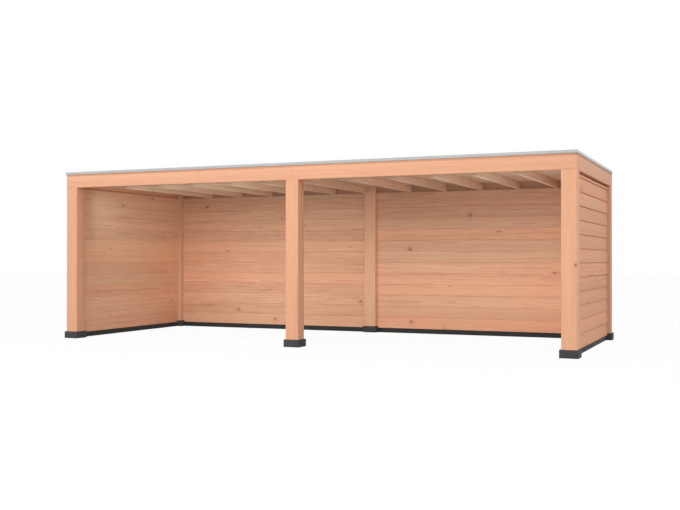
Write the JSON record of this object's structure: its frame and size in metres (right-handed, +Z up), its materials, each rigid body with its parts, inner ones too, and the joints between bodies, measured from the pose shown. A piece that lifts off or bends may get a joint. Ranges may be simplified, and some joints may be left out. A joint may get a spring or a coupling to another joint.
{
  "type": "wooden canopy",
  "caption": "Flat-roofed timber garden canopy with an open front, boarded back and end walls, joists under a sunk roof and metal edge trim.",
  "frame": {"origin": "centre of the canopy's footprint, on the ground under its feet", "axes": "+X along the open front, to the right of someone facing it; +Y from the open front to the back wall; +Z up"},
  "size_m": [7.544, 3.044, 2.47],
  "materials": {
    "post_timber": "planed, unpainted softwood",
    "beam_timber": "planed, unpainted softwood",
    "joist_timber": "planed, unpainted softwood",
    "cladding_boards": "planed, lapped boards",
    "lining_boards": "planed, flush boards",
    "deck_boards": "planed roof boards",
    "trim_metal": "mill finish, satin",
    "roof_sheet": "matt roofing sheet",
    "base_block": "matt dark concrete"
  },
  "bodies": {
    "root": {"back_left_cladding": "cladding_boards", "back_left_lining": "lining_boards", "back_left_plinth": "base_block", "back_right_cladding": "cladding_boards", "back_right_lining": "lining_boards", "back_right_plinth": "base_block", "front_beam": "beam_timber", "front_left_foot": "base_block", "front_left_post": "post_timber", "front_middle_foot": "base_block", "front_middle_post": "post_timber", "front_right_foot": "base_block", "front_right_post": "post_timber", "front_roof_trim": "trim_metal", "joist_01": "joist_timber", "joist_02": "joist_timber", "joist_03": "joist_timber", "joist_04": "joist_timber", "joist_05": "joist_timber", "joist_06": "joist_timber", "joist_07": "joist_timber", "joist_08": "joist_timber", "joist_09": "joist_timber", "joist_10": "joist_timber", "joist_11": "joist_timber", "left_beam": "beam_timber", "left_cladding": "cladding_boards", "left_lining": "lining_boards", "left_plinth": "base_block", "left_roof_trim": "trim_metal", "rear_beam": "beam_timber", "rear_left_foot": "base_block", "rear_left_post": "post_timber", "rear_middle_foot": "base_block", "rear_middle_post": "post_timber", "rear_right_foot": "base_block", "rear_right_post": "post_timber", "rear_roof_trim": "trim_metal", "right_beam": "beam_timber", "right_cladding": "cladding_boards", "right_lining": "lining_boards", "right_plinth": "base_block", "right_roof_trim": "trim_metal", "roof_deck": "deck_boards", "roof_membrane": "roof_sheet"}
  },
  "joints": []
}
